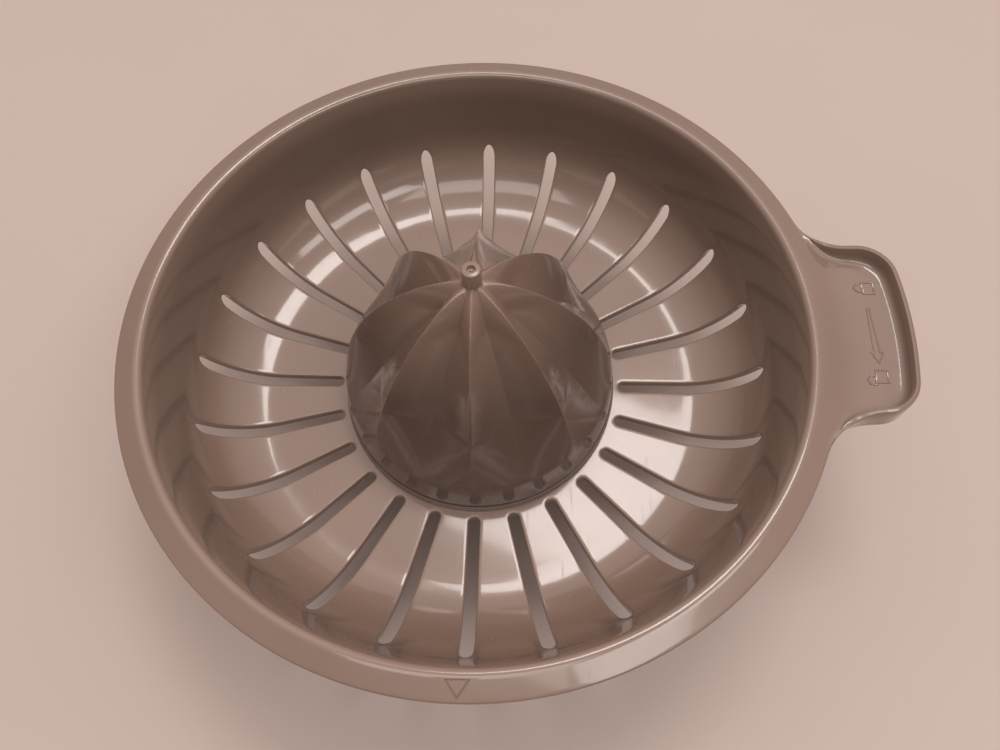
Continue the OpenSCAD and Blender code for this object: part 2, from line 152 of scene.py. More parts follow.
# Chimney and the fittings under the floor
CHIMNEY_TOP = FLOOR_Z + 29.3
CHIMNEY_BORE = 7.0
CHIMNEY_FOOT_R = 10.0
CHIMNEY_FILLET = 1.4
CHIMNEY_TOP_R = 9.75
CHIMNEY_EDGE = 0.5
SPIGOT_R = (28.4, 29.9)
SPIGOT_LOW = UNDER_Z - 2.0
SCREW_RING = 34.9
SCREW_BOSS_R = 3.0
SCREW_HOLE_R = 1.4
SCREW_BOSS_LOW = 12.0
SCREW_BOSS_TOP = FLOOR_Z - 1.2


def smoothstep(t):
    t = np.clip(t, 0.0, 1.0)
    return t * t * (3 - 2 * t)


def arc(centre, radius, first, last, steps):
    """Points of an arc from angle first to angle last, in degrees."""
    t = np.radians(np.linspace(first, last, steps + 1))
    return np.column_stack([centre[0] + radius * np.cos(t), centre[1] + radius * np.sin(t)])


def polar(r, degrees):
    t = np.radians(degrees)
    return np.column_stack([r * np.cos(t), r * np.sin(t)])


class Skin:
    """Points and faces in millimetres, welded into one mesh at the end."""

    def __init__(self):
        self.points = []
        self.faces = []

    def add(self, points):
        start = len(self.points)
        self.points.extend(np.asarray(points, float).tolist())
        return np.arange(start, len(self.points))

    def band(self, a, b, closed=True):
        """Quads between two rows of the same length."""
        for i in range(len(a) if closed else len(a) - 1):
            j = (i + 1) % len(a)
            self.faces.append((a[i], a[j], b[j], b[i]))

    def rows(self, rows, closed=True):
        """Quads through a list of rows of points; returns the first and the last row."""
        ids = [self.add(row) for row in rows]
        for a, b in zip(ids, ids[1:]):
            self.band(a, b, closed)
        return ids[0], ids[-1]

    def fan(self, row, pole):
        centre = self.add([pole])[0]
        for i, point in enumerate(row):
            self.faces.append((point, row[(i + 1) % len(row)], centre))

    def join_double(self, coarse, fine):
        """Triangles between a ring and one with twice its points."""
        for i in range(len(coarse)):
            k = (i + 1) % len(coarse)
            middle = fine[2 * i + 1]
            self.faces.append((coarse[i], coarse[k], middle))
            self.faces.append((coarse[i], middle, fine[2 * i]))
            self.faces.append((coarse[k], fine[2 * k], middle))

    def piece(self, name, sharp=32.0):
        mesh = bpy.data.meshes.new(name)
        mesh.from_pydata((np.array(self.points) * MM).tolist(), [], self.faces)
        bm = bmesh.new()
        bm.from_mesh(mesh)
        bmesh.ops.remove_doubles(bm, verts=bm.verts, dist=0.004 * MM)
        bmesh.ops.recalc_face_normals(bm, faces=bm.faces)
        bm.to_mesh(mesh)
        bm.free()
        mesh.shade_smooth()
        mesh.set_sharp_from_angle(angle=math.radians(sharp))
        obj = bpy.data.objects.new(name, mesh)
        bpy.context.scene.collection.objects.link(obj)
        return obj


# ---- Bowl ----


def top_z(r):
    """Height of the bowl's inside at radius r, out to the wall."""
    return CORNER_TOP - np.sqrt(CORNER_R**2 - np.clip(r - FLOOR_R, 0, None) ** 2)


def under_z(r):
    return CORNER_TOP - np.sqrt(OUTER_CORNER_R**2 - np.clip(r - FLOOR_R, 0, None) ** 2)


def through(r):
    """Radius where a cut square to the inside at radius r comes out underneath."""
    return r + np.clip(r - FLOOR_R, 0, None) * (OUTER_CORNER_R / CORNER_R - 1)


def ring(r, z, columns=COLUMNS):
    xy = polar(np.full(columns, r), np.arange(columns) * 360.0 / columns)
    return np.column_stack([xy, np.full(columns, z)])


def slot_rows():
    """Radii along a slot's sides: even on the floor, even by angle on the corner."""
    flat = np.linspace(SLOT_IN[0], FLOOR_R, 7)
    last = math.asin((SLOT_OUT[0] - FLOOR_R) / CORNER_R)
    curved = FLOOR_R + CORNER_R * np.sin(np.linspace(0, last, 13))
    return np.concatenate([flat, curved[1:]])


def slot_loop(d):
    """Plan of a slot along +X, moved outwards by d."""
    x = slot_rows()[1:-1]
    half = d + np.interp(x, [SLOT_IN[0], SLOT_OUT[0]], [SLOT_IN[1], SLOT_OUT[1]])
    return np.vstack([
        arc((SLOT_IN[0], 0), SLOT_IN[1] + d, 90, 270, END_STEPS),
        np.column_stack([x, -half]),
        arc((SLOT_OUT[0], 0), SLOT_OUT[1] + d, -90, 90, END_STEPS),
        np.column_stack([x, half])[::-1],
    ])


def cell_edge():
    """Radius and azimuth of a slot cell's edge, point for point with slot_loop()."""
    half = 180.0 / SLOTS
    side = np.full(4, half)
    across = np.linspace(half, -half, CELL_STEPS + 1)
    x = slot_rows()
    inner_r = np.linspace(x[0], CELL_IN, 5)
    outer_r = np.linspace(x[-1], CELL_OUT, 5)
    rows = x[1:-1]
    r = [inner_r[:-1], np.full(CELL_STEPS + 1, CELL_IN), inner_r[-2::-1], rows,
         outer_r[:-1], np.full(CELL_STEPS + 1, CELL_OUT), outer_r[-2::-1], rows[::-1]]
    a = [side, across, -side, np.full(len(rows), -half),
         -side, -across, side, np.full(len(rows), half)]
    return np.concatenate(r), np.concatenate(a)


def slot_cell(skin, azimuth):
    """The skin round one slot: floor, rounded mouth, slot walls and underside."""
    edge_r, edge_a = cell_edge()

    def inside(r, a, drop=0.0):
        return np.column_stack([polar(r, a + azimuth), top_z(r) + drop])

    def underneath(r, a, drop=0.0):
        return np.column_stack([polar(through(r), a + azimuth), under_z(through(r)) + drop])

    def loop(d):
        xy = slot_loop(d)
        return np.hypot(xy[:, 0], xy[:, 1]), np.degrees(np.arctan2(xy[:, 1], xy[:, 0]))

    def spread(d, t):
        r, a = loop(d)
        return r + (edge_r - r) * t, a + (edge_a - a) * t

    f, g = SLOT_FILLET, UNDER_FILLET
    mouth = [(f * (1 - math.sin(t)), -f * (1 - math.cos(t))) for t in np.radians([0, 30, 60, 90])]
    rows = [inside(*spread(1.0, t)) for t in (1, 0.75, 0.5, 0.25, 0)]
    rows += [inside(*loop(d), drop) for d, drop in mouth]
    rows += [underneath(*loop(0), g), underneath(*loop(g))]
    rows += [underneath(*spread(0.9, t)) for t in (0, 0.33, 0.66, 1)]
    skin.rows(rows)


def floor_z(r):
    """Height of the band and, on the tab, of its floor: the band's slope, then flat."""
    start = CREST_C + CREST_R * np.array([math.cos(math.radians(90 - BAND_SLOPE)),
                                          math.sin(math.radians(90 - BAND_SLOPE))])
    end = edge_points()[0]
    slope = (start[1] - end[1]) / (end[0] + RIM_R - start[0])
    at_bend = start[1] - slope * (TAB_BEND - start[0])
    run = 2 * (at_bend - TAB_FLOOR) / slope
    t = np.clip((r - TAB_BEND) / run, 0, 1)
    line = start[1] - slope * (np.minimum(r, TAB_BEND) - start[0])
    return line - (at_bend - TAB_FLOOR) * (2 * t - t * t)


def edge_points():
    """The rim's plain edge as (outward from the rim, height), one point per rail point."""
    angles = [70, 64, 58, 52, 46, 40, 34, 26, 18, 10, 0, -20, -50, -90]
    t = np.radians(angles)
    points = np.column_stack([EDGE_R * np.cos(t) - EDGE_R, RIM_Z - EDGE_R + EDGE_R * np.sin(t)])
    return np.vstack([points, [[-0.9, SEAT_Z], [-1.2, SEAT_Z]]])


def rail_points(floor, x):
    """The tab's rail as (outward from its outline, height): fillet, wall, round top, underside."""
    full = RAIL_RISE + RIM_Z - TAB_FLOOR
    rise = RAIL_FOOT + (full - RAIL_FOOT) * smoothstep((x - RAIL_START) / RAIL_RUN)
    low = SEAT_Z - (SEAT_Z - RAIL_LOW) * smoothstep((x - RAIL_START) / SKIRT_RUN)
    f = min(TAB_FILLET, 0.45 * rise)
    half = TAB_WALL / 2
    cap = min(half, 0.5 * (rise - f))
    top = floor + rise
    fillet = arc((-TAB_WALL - f, floor + f), f, -90, 0, 4)
    t = np.radians([180, 135, 90, 45, 0])
    head = np.column_stack([-half + half * np.cos(t), top - cap + cap * np.sin(t)])
    foot = [[0, (top + low) / 2], [0, low + 0.3], [-0.3, low], [-TAB_WALL + 0.3, low],
            [-TAB_WALL, low + 0.3], [-TAB_WALL, floor - TAB_FLOOR_T]]
    return np.vstack([fillet, head, foot])


def tab_outline():
    """Half of the tab's outline with its outward normals, from the rim to the middle of the tab."""
    rim_end = RIM_COLUMNS // 16 * 360.0 / RIM_COLUMNS
    root_y = TAB_HALF + TAB_ROOT
    root_a = math.degrees(math.asin(root_y / (RIM_R + TAB_ROOT)))
    root_c = (RIM_R + TAB_ROOT) * np.array([math.cos(math.radians(root_a)),
                                            -math.sin(math.radians(root_a))])
    corner_y = TAB_HALF - TAB_CORNER
    corner_x = math.sqrt((TAB_R - TAB_CORNER) ** 2 - corner_y**2)
    corner_a = math.degrees(math.atan2(corner_y, corner_x))
    # Centre, radius, angles, steps, side of the outline, and the points shared with the last arc
    spans = [((0, 0), RIM_R, -rim_end, -root_a, 1, 1, 0),
             (root_c, TAB_ROOT, 180 - root_a, 90, 8, -1, 1),
             ((corner_x, -corner_y), TAB_CORNER, -90, -corner_a, 8, 1, 0),
             ((0, 0), TAB_R, -corner_a, 0, 6, 1, 1)]
    points, normals = [], []
    for centre, radius, first, last, steps, side, shared in spans:
        angles = np.linspace(first, last, steps + 1)[shared:]
        unit = polar(np.ones(len(angles)), angles)
        points.append(np.array(centre) + radius * unit)
        normals.append(unit * side)
    return np.vstack(points), np.vstack(normals)


def rim_columns():
    """Plan points, outward normals and share of tab for each column of the rim's edge."""
    n = RIM_COLUMNS
    normal = polar(np.ones(n), np.arange(n) * 360.0 / n)
    outline = RIM_R * normal
    weight = np.zeros(n)
    half_points, half_normals = tab_outline()
    count = len(half_points) - 1
    for k in range(count + 1):
        for sign in (-1, 1):
            column = (sign * (count - k)) % n
            outline[column] = half_points[k] * [1, -sign]
            normal[column] = half_normals[k] * [1, -sign]
            weight[column] = smoothstep((half_points[k][0] - BLEND_START) / BLEND_RUN)
    return outline, normal, weight


def edge_rows(outline, normal, weight):
    """The rim's edge, which turns into the rail round the tab."""
    plain = edge_points()
    edge = np.zeros((len(plain), len(outline), 3))
    for j, share in enumerate(weight):
        profile = plain
        if share > 0:
            inset = outline[j] - (TAB_WALL + TAB_FILLET) * normal[j]
            rail = rail_points(float(floor_z(math.hypot(*inset))), outline[j][0])
            profile = plain + (rail - plain) * share
        edge[:, j, :2] = outline[j] + profile[:, :1] * normal[j]
        edge[:, j, 2] = profile[:, 1]
    return edge


def wall_rows():
    """The inside of the wall above the slots' cells, and the crest."""
    crest = arc(CREST_C, CREST_R, 90 + WALL_LEAN, 90 - BAND_SLOPE, 8)
    foot_r = FLOOR_R + CORNER_R * math.sin(math.radians(WALL_LEAN))
    foot_z = CORNER_TOP - CORNER_R * math.cos(math.radians(WALL_LEAN))
    wall = [(foot_r + (crest[0][0] - foot_r) * t, foot_z + (crest[0][1] - foot_z) * t)
            for t in (0.24, 0.48, 0.76)]
    return [ring(r, z, RIM_COLUMNS) for r, z in wall + crest.tolist()]


def band_rows(start, end):
    """The band and the tab's floor, along straight plan lines from the crest to the edge."""
    rows = []
    for t in np.linspace(0, 1, BAND_ROWS):
        row = start + (end - start) * t
        lift = smoothstep((t - 0.9) * 10)
        row[:, 2] = floor_z(np.hypot(row[:, 0], row[:, 1])) * (1 - lift) + end[:, 2] * lift
        rows.append(row)
    return rows


def seat_rows(edge, weight):
    """The seat under the rim and the underside of the tab's floor."""
    seat = ring(SEAT_R, SEAT_Z, RIM_COLUMNS)
    rows = []
    for t in np.linspace(0, 1, 7):
        row = edge + (seat - edge) * t
        tab = np.minimum(floor_z(np.hypot(row[:, 0], row[:, 1])) - TAB_FLOOR_T, SEAT_Z)
        near = (1 - t) ** 8
        under = edge[:, 2] * near + (1 - near) * (SEAT_Z + (tab - SEAT_Z) * weight)
        row[:, 2] = np.where(weight > 0, under, SEAT_Z)
        rows.append(row)
    rows[-1][:, 2] = SEAT_Z
    return rows


def outer_rows():
    """The outside of the wall, from the seat down to the corner."""
    foot = (FLOOR_R + OUTER_CORNER_R * math.sin(math.radians(WALL_LEAN)),
            CORNER_TOP - OUTER_CORNER_R * math.cos(math.radians(WALL_LEAN)))
    top = (SEAT_R - 0.9, SEAT_Z - 1.2)
    section = [(SEAT_R, SEAT_Z), (SEAT_R - 0.5, SEAT_Z - 0.3), top]
    section += [(top[0] + (foot[0] - top[0]) * t, top[1] + (foot[1] - top[1]) * t)
                for t in (0.3, 0.6, 0.88)]
    return [ring(r, z, RIM_COLUMNS) for r, z in section]


def rim_skin(skin):
    """Wall, crest, band with the tab, seat and outer wall, on the fine columns."""
    outline, normal, weight = rim_columns()
    edge = edge_rows(outline, normal, weight)
    wall = wall_rows()
    first, _ = skin.rows(wall)
    band = band_rows(wall[-1], edge[0])
    ids = [skin.add(row) for row in band]
    marked = mark_columns(RIM_COLUMNS)
    for a, b in zip(ids, ids[1:]):
        for i in range(RIM_COLUMNS):
            if i not in marked:
                k = (i + 1) % RIM_COLUMNS
                skin.faces.append((a[i], a[k], b[k], b[i]))
    rim_mark(skin, band, marked)
    skin.rows(list(edge))
    skin.rows(seat_rows(edge[-1], weight))
    _, last = skin.rows(outer_rows())
    skin.join_double(skin.add(ring(CELL_OUT, top_z(CELL_OUT))), first)
    low = through(CELL_OUT)
    skin.join_double(skin.add(ring(low, under_z(low))), last)


def mark_columns(n):
    """The columns of the band that the engraved triangle takes the place of, at -90 degrees."""
    middle = 3 * n // 4
    return set(range(middle - 4, middle + 4))


def rim_mark(skin, band, marked):
    """The engraved triangle on the band, joined to the band's rows and columns round it."""
    first, last = min(marked), max(marked) + 1
    top = [band[0][i] for i in range(first, last + 1)]
    right = [row[last] for row in band[1:-1]]
    low = [band[-1][i] for i in range(last, first - 1, -1)]
    left = [row[first] for row in band[-2:0:-1]]
    edge = np.array(top + right + low + left)
    steps = len(top) - 1
    slant = len(right) + 1 + steps // 2
    corners = np.array([[-MARK_HALF, -MARK_BASE], [MARK_HALF, -MARK_BASE], [0, -MARK_TIP]])
    spans = [(corners[0], corners[1], steps), (corners[1], corners[2], slant),
             (corners[2], corners[0], slant)]
    path = np.vstack([a + (b - a) * np.arange(m)[:, None] / m for a, b, m in spans])
    centre = corners.mean(0)

    def loop(scale, drop):
        xy = centre + (path - centre) * scale
        return np.column_stack([xy, floor_z(np.hypot(xy[:, 0], xy[:, 1])) - drop])

    rim = loop(1.17, 0)
    between = (edge + rim) / 2
    between[:, 2] = floor_z(np.hypot(between[:, 0], between[:, 1]))
    groove = [loop(1.05, MARK_DEPTH), loop(0.95, MARK_DEPTH)]
    _, inner = skin.rows([edge, between, rim] + groove + [loop(0.83, 0)])
    skin.fan(inner, loop(0, 0)[0])


def hub_skin(skin):
    """Floor inside the slots, chimney, bore, and the underside with the gearbox spigot."""
    foot = (CHIMNEY_FOOT_R + CHIMNEY_FILLET, FLOOR_Z + CHIMNEY_FILLET)
    brow = (CHIMNEY_TOP_R - CHIMNEY_EDGE, CHIMNEY_TOP - CHIMNEY_EDGE)
    a, b = SPIGOT_R
    section = [(CELL_IN, FLOOR_Z), (30, FLOOR_Z), (22, FLOOR_Z), (15, FLOOR_Z), (foot[0], FLOOR_Z)]
    section += arc(foot, CHIMNEY_FILLET, -120, -180, 3).tolist()
    section += [(CHIMNEY_TOP_R, brow[1] - 0.3)]
    section += arc(brow, CHIMNEY_EDGE, 0, 90, 3).tolist()
    section += [(CHIMNEY_BORE + 0.4, CHIMNEY_TOP), (CHIMNEY_BORE, CHIMNEY_TOP - 0.4),
                (CHIMNEY_BORE, UNDER_Z + 0.4), (CHIMNEY_BORE + 0.4, UNDER_Z), (16, UNDER_Z),
                (a, UNDER_Z), (a, SPIGOT_LOW + 0.2), (a + 0.2, SPIGOT_LOW),
                (b - 0.2, SPIGOT_LOW), (b, SPIGOT_LOW + 0.2), (b, UNDER_Z), (CELL_IN, UNDER_Z)]
    skin.rows([ring(r, z) for r, z in section])


def screw_boss(skin, azimuth):
    """A hollow boss under the floor; its top is buried in the floor."""
    x, y = polar(np.array([SCREW_RING]), azimuth)[0]
    low, top = SCREW_BOSS_LOW, SCREW_BOSS_TOP
    section = [(SCREW_HOLE_R, low + 0.3), (SCREW_HOLE_R + 0.2, low), (SCREW_BOSS_R - 0.2, low),
               (SCREW_BOSS_R, low + 0.2), (SCREW_BOSS_R, top), (SCREW_HOLE_R, top)]
    rows = [np.column_stack([arc((x, y), r, 0, 345, 23), np.full(24, z)]) for r, z in section]
    skin.rows(rows + rows[:1])


def bead(skin, path, height, radius=SIGN_R):
    """A thin raised round line along a closed path on the tab's floor."""
    path = np.array(path, float)
    ahead = np.roll(path, -1, 0) - path
    ahead /= np.linalg.norm(ahead, axis=1)[:, None]
    side = np.column_stack([ahead[:, 1], -ahead[:, 0]])
    corner = side + np.roll(side, 1, 0)
    corner /= np.clip((corner * np.roll(side, 1, 0)).sum(1), 0.35, None)[:, None]
    rows = []
    for t in np.radians(np.arange(0, 360, 45)):
        xy = path + corner * radius * math.cos(t)
        rows.append(np.column_stack([xy, np.full(len(xy), height + radius * math.sin(t))]))
    skin.rows(rows + rows[:1])


def padlock(skin, at, shift):
    """A padlock outline whose shackle points at the drive axis, moved sideways when open."""
    x, y = at
    body = [(x - 0.1, y - 1.7), (x + 2.7, y - 1.7), (x + 2.7, y + 1.7), (x - 0.1, y + 1.7)]
    bow = arc((x - 1.1, y + shift), 1.15, 90, 270, 8).tolist()
    bead(skin, body, TAB_FLOOR)
    bead(skin, [(x - 0.3, y + 1.15 + shift)] + bow + [(x - 0.3, y - 1.15 + shift)], TAB_FLOOR)


def tab_symbols():
    """The two padlocks and the arrow from one to the other."""
    skin = Skin()
    x = SIGN_X
    padlock(skin, (x, OPEN_Y), 0)
    padlock(skin, (x - 0.6, CLOSED_Y), -1.1)
    tail, neck, tip = OPEN_Y - 6.1, CLOSED_Y + 6.6, CLOSED_Y + 3.6
    arrow = [(x, tail), (x + 0.6, tail), (x + 1.3, neck), (x + 2.1, neck), (x + 0.6, tip),
             (x - 1.0, neck), (x - 0.2, neck)]
    bead(skin, arrow, TAB_FLOOR, ARROW_R)
    return skin.piece("tab_symbols")


def sieve():
    """The whole bowl in one mesh: slots, rim with the tab, chimney and screw bosses."""
    skin = Skin()
    for k in range(SLOTS):
        slot_cell(skin, k * 360.0 / SLOTS)
    rim_skin(skin)
    hub_skin(skin)
    for azimuth in (45, 135, 225, 315):
        screw_boss(skin, azimuth)
    return skin.piece("sieve")


# ---- Reamer ----


def ridge(z):
    return RIDGE_R * math.sqrt(max(0.0036, 1 - (z / RIDGE_H) ** 2))


def valley(z):
    return max(0.45 * ridge(z), (VALLEY_TOP - z) / VALLEY_SLOPE)


def cut(z):
    """Share of the ridge's radius that a valley cuts away."""
    if z >= FLUTE_END:
        return 1 - min(1, valley(z) / ridge(z))
    at_end = 1 - valley(FLUTE_END) / ridge(FLUTE_END)
    return at_end * max(0, (z - FADE_END) / (FLUTE_END - FADE_END))


def cone_columns():
    """Azimuths in degrees, closer together at the ridges and in the valleys."""
    half, steps = 180.0 / RIDGES, 12
    t = np.arange(steps) / steps
    a = half * (t - 0.9 * np.sin(2 * np.pi * t) / (2 * np.pi))
    return np.concatenate([a + k * half for k in range(2 * RIDGES)])


def flute_row(z, inset=0.0):
    """One level of the reamer: straight flanks, and below the flutes' end a rounded groove."""
    half = 180.0 / RIDGES
    a = cone_columns()
    off = np.abs((a + half) % (2 * half) - half) / half  # 0 on a ridge, 1 in a valley
    soft = min(0.12, RIDGE_SOFT / (ridge(z) * math.radians(half)))
    level = 0.5 / math.sqrt(0.25 + soft**2)
    near = level * np.sqrt(np.minimum(off, 1 - off) ** 2 + soft**2)
    x = np.where(off < 0.5, near, 1 - near)
    k = cut(z)
    flank = np.zeros(len(a))
    if k > 0.001:
        s = np.radians(x * half)
        whole = math.radians(half)
        line = (1 - k) * np.cos(s) + (1 - (1 - k) * math.cos(whole)) * np.sin(s) / math.sin(whole)
        flank = (1 - (1 - k) / line) / k
    groove = 0.5 * x + 0.5 * np.sin(np.pi / 2 * x)
    m = float(smoothstep((FLUTE_END - z) / 1.5))
    r = ridge(z) * (1 - k * ((1 - m) * flank + m * groove)) - inset
    r = np.maximum(NIPPLE_R + 0.25, r)
    return np.column_stack([polar(r, a), np.full(len(a), FLOOR_Z + z)])


def round_row(r, z):
    a = cone_columns()
    return np.column_stack([polar(np.full(len(a), r), a), np.full(len(a), FLOOR_Z + z)])


def hex_row(z):
    a = cone_columns()
    r = SOCKET_R * math.cos(math.pi / 6) / np.cos(np.radians(a % 60 - 30))
    return np.column_stack([polar(r, a), np.full(len(a), FLOOR_Z + z)])


def reamer():
    """The hollow cone: pitted nipple, ridges, lip, inside, and the boss with its hexagon."""
    skin = Skin()
    nipple = [(0.22, CONE_TIP - 0.5), (0.38, CONE_TIP - 0.85), (0.9, CONE_TIP - 0.85),
              (1.0, CONE_TIP - 0.15), (1.15, CONE_TIP), (NIPPLE_R - 0.5, CONE_TIP),
              (NIPPLE_R - 0.15, CONE_TIP - 0.14), (NIPPLE_R - 0.02, CONE_TIP - 0.5),
              (NIPPLE_R, CONE_TOP + 0.6), (NIPPLE_R + 0.08, CONE_TOP + 0.2)]
    rows = [round_row(r, z) for r, z in nipple]
    angle_top = math.asin(CONE_TOP / RIDGE_H)
    angle_end = math.asin(FLUTE_END / RIDGE_H)
    angle_low = math.asin((CONE_GAP + LIP_H) / RIDGE_H)
    upper = RIDGE_H * np.sin(np.linspace(angle_top, angle_end, 28))
    lower = RIDGE_H * np.sin(np.linspace(angle_end, angle_low, 24))
    step = FLUTE_END - np.array([0.3, 0.6, 0.9, 1.2, 1.5])
    levels = np.concatenate([upper, step, lower[lower < step[-1] - 0.3]])
    rows += [flute_row(z) for z in levels]
    low = CONE_GAP
    lip = low + LIP_H
    rows += [round_row(CONE_R - 0.42, lip - 0.1), round_row(CONE_R - 0.12, lip - 0.16),
             round_row(CONE_R, lip - 0.3), round_row(CONE_R, low + 0.2),
             round_row(CONE_R - 0.2, low), round_row(CONE_R - CONE_WALL - 0.5, low)]
    rows += [flute_row(z, CONE_WALL) for z in np.linspace(FADE_END, CEILING, 14)]
    rows += [round_row(BOSS_R, CEILING + 0.6), round_row(BOSS_R, BOSS_LOW + 0.4),
             round_row(BOSS_R - 0.4, BOSS_LOW), round_row(SOCKET_R + 0.4, BOSS_LOW),
             hex_row(BOSS_LOW + 0.4), hex_row(SOCKET_END)]
    first, last = skin.rows(rows)
    skin.fan(first, [0, 0, FLOOR_Z + CONE_TIP - 0.45])
    skin.fan(last, [0, 0, FLOOR_Z + SOCKET_END])
    return skin.piece("reamer", 24.0)


# ---- Materials ----


class Shader:
    """A Principled material with a few procedural layers."""

    def __init__(self, name, colour, roughness, **sockets):
        self.material = bpy.data.materials.new(name)
        self.material.use_nodes = True
        self.tree = self.material.node_tree
        self.shader = self.tree.nodes["Principled BSDF"]
        self.shader.inputs["Base Color"].default_value = (*colour, 1)
        self.shader.inputs["Roughness"].default_value = roughness
        for socket, value in sockets.items():
            self.shader.inputs[socket.replace("_", " ")].default_value = value
        self.place = self.tree.nodes.new("ShaderNodeTexCoord").outputs["Object"]

    def node(self, kind, **settings):
        made = self.tree.nodes.new(kind)
        for key, value in settings.items():
            if key in made.inputs:
                made.inputs[key].default_value = value
            else:
                setattr(made, key, value)
        return made

    def noise(self, scale, detail=3.0, stretch=None):
        made = self.node("ShaderNodeTexNoise", Scale=scale, Detail=detail)
        place = self.place
        if stretch:
            mapping = self.node("ShaderNodeMapping", Scale=stretch)
            self.tree.links.new(place, mapping.inputs["Vector"])
            place = mapping.outputs["Vector"]
        self.tree.links.new(place, made.inputs["Vector"])
        return made.outputs["Fac"]

    def ramp(self, value, low, high, out_low, out_high):
        made = self.node("ShaderNodeMapRange")
        for key, number in (("From Min", low), ("From Max", high),
                            ("To Min", out_low), ("To Max", out_high)):
            made.inputs[key].default_value = number
        self.tree.links.new(value, made.inputs["Value"])
        return made.outputs["Result"]

    def colours(self, value, dark, light):
        made = self.node("ShaderNodeMix", data_type="RGBA")
        made.inputs[6].default_value = (*dark, 1)
        made.inputs[7].default_value = (*light, 1)
        self.tree.links.new(value, made.inputs[0])
        self.tree.links.new(made.outputs[2], self.shader.inputs["Base Color"])

    def add(self, value, more):
        """Sum of a socket and a number or another socket."""
        made = self.node("ShaderNodeMath", operation="ADD")
        self.tree.links.new(value, made.inputs[0])
        if isinstance(more, float):
            made.inputs[1].default_value = more
        else:
            self.tree.links.new(more, made.inputs[1])
        return made.outputs[0]

    def paint_light_by_height(self, stops):
        """Painted light and shade: scale the base colour by a factor that runs straight between
        stops (height, factor).
        """
        split = self.node("ShaderNodeSeparateXYZ")
        self.tree.links.new(self.place, split.inputs[0])
        factor = None
        for (low, below), (high, above) in zip(stops, stops[1:]):
            step = self.ramp(split.outputs["Z"], low * MM, high * MM, 0, above - below)
            factor = self.add(step, stops[0][1] if factor is None else factor)
        base = self.shader.inputs["Base Color"]
        shade = self.node("ShaderNodeVectorMath", operation="SCALE")
        self.tree.links.new(base.links[0].from_socket, shade.inputs[0])
        self.tree.links.new(factor, shade.inputs["Scale"])
        self.tree.links.new(shade.outputs[0], base)

    def roughness(self, value):
        self.tree.links.new(value, self.shader.inputs["Roughness"])

    def bump(self, value, depth, strength=1.0, under=None):
        made = self.node("ShaderNodeBump", Strength=strength, Distance=depth * MM)
        self.tree.links.new(value, made.inputs["Height"])
        if under is not None:
            self.tree.links.new(under, made.inputs["Normal"])
        self.tree.links.new(made.outputs["Normal"], self.shader.inputs["Normal"])
        return made.outputs["Normal"]


def srgb(*channels):
    """Linear colour of 0 to 255 display values."""
    return tuple((c / 255 / 12.92) if c <= 10 else ((c / 255 + 0.055) / 1.055) ** 2.4
                 for c in channels)


def scaled(colour, factor):
    return tuple(c * factor for c in colour)


def moulded(name, colour, roughness, wave, scuff, painted_light_stops=None, **sockets):
    """Glossy moulded plastic: faint cloudiness, slight surface waves, fine handling scuffs, and
    painted light and shade by height when stops are given.
    """
    made = Shader(name, colour, roughness, **sockets)
    cloud = made.ramp(made.noise(22.0, 4.0), 0.3, 0.7, 0.0, 1.0)
    made.colours(cloud, scaled(colour, 0.93), scaled(colour, 1.06))
    if painted_light_stops:
        made.paint_light_by_height(painted_light_stops)
    scratch = made.ramp(made.noise(900.0, 6.0, (1, 0.12, 1)), 0.62, 0.75, 0.0, scuff)
    film = made.ramp(made.noise(60.0, 5.0), 0.35, 0.7, roughness * 0.85, roughness * 1.25)
    made.roughness(made.add(scratch, film))
    slow = made.bump(made.noise(75.0, 1.5), wave)
    made.bump(made.noise(2600.0, 2.0), 0.0016, under=slow)
    return made.material


def acetal():
    """Satin white gear plastic with a fine tool grain."""
    made = Shader("acetal", srgb(226, 222, 210), 0.38, Subsurface_Weight=0.08)
    made.colours(made.ramp(made.noise(45.0), 0.3, 0.7, 0, 1), srgb(215, 210, 197),
                 srgb(231, 228, 218))
    made.roughness(made.ramp(made.noise(160.0, 5.0), 0.3, 0.7, 0.32, 0.46))
    made.bump(made.noise(1500.0, 3.0), 0.004)
    return made.material


def sintered_bronze():
    """Oil-filled sintered bronze: open grain, mottled brown."""
    made = Shader("sintered_bronze", srgb(150, 112, 66), 0.42, Metallic=1.0)
    made.colours(made.ramp(made.noise(700.0, 4.0), 0.35, 0.65, 0, 1), srgb(116, 84, 50),
                 srgb(176, 136, 82))
    made.roughness(made.ramp(made.noise(1400.0, 4.0), 0.35, 0.65, 0.34, 0.58))
    made.bump(made.noise(2200.0, 4.0), 0.012)
    return made.material


def turned_steel():
    """Turned steel: fine rings along the axis and a slight tarnish."""
    made = Shader("turned_steel", srgb(176, 176, 180), 0.28, Metallic=1.0)
    made.colours(made.ramp(made.noise(90.0, 4.0), 0.35, 0.7, 0, 1), srgb(146, 144, 144),
                 srgb(190, 190, 193))
    made.roughness(made.ramp(made.noise(260.0, 5.0, (1, 1, 8)), 0.3, 0.7, 0.2, 0.38))
    made.bump(made.noise(600.0, 2.0, (1, 1, 20)), 0.004)
    return made.material


def rubber():
    """Dull black seal rubber with a dusty bloom."""
    made = Shader("seal_rubber", srgb(34, 33, 33), 0.7)
    made.colours(made.ramp(made.noise(240.0, 5.0), 0.45, 0.75, 0, 1), srgb(28, 27, 27),
                 srgb(58, 56, 55))
    made.roughness(made.ramp(made.noise(400.0), 0.3, 0.7, 0.6, 0.82))
    made.bump(made.noise(1800.0, 3.0), 0.01)
    return made.material


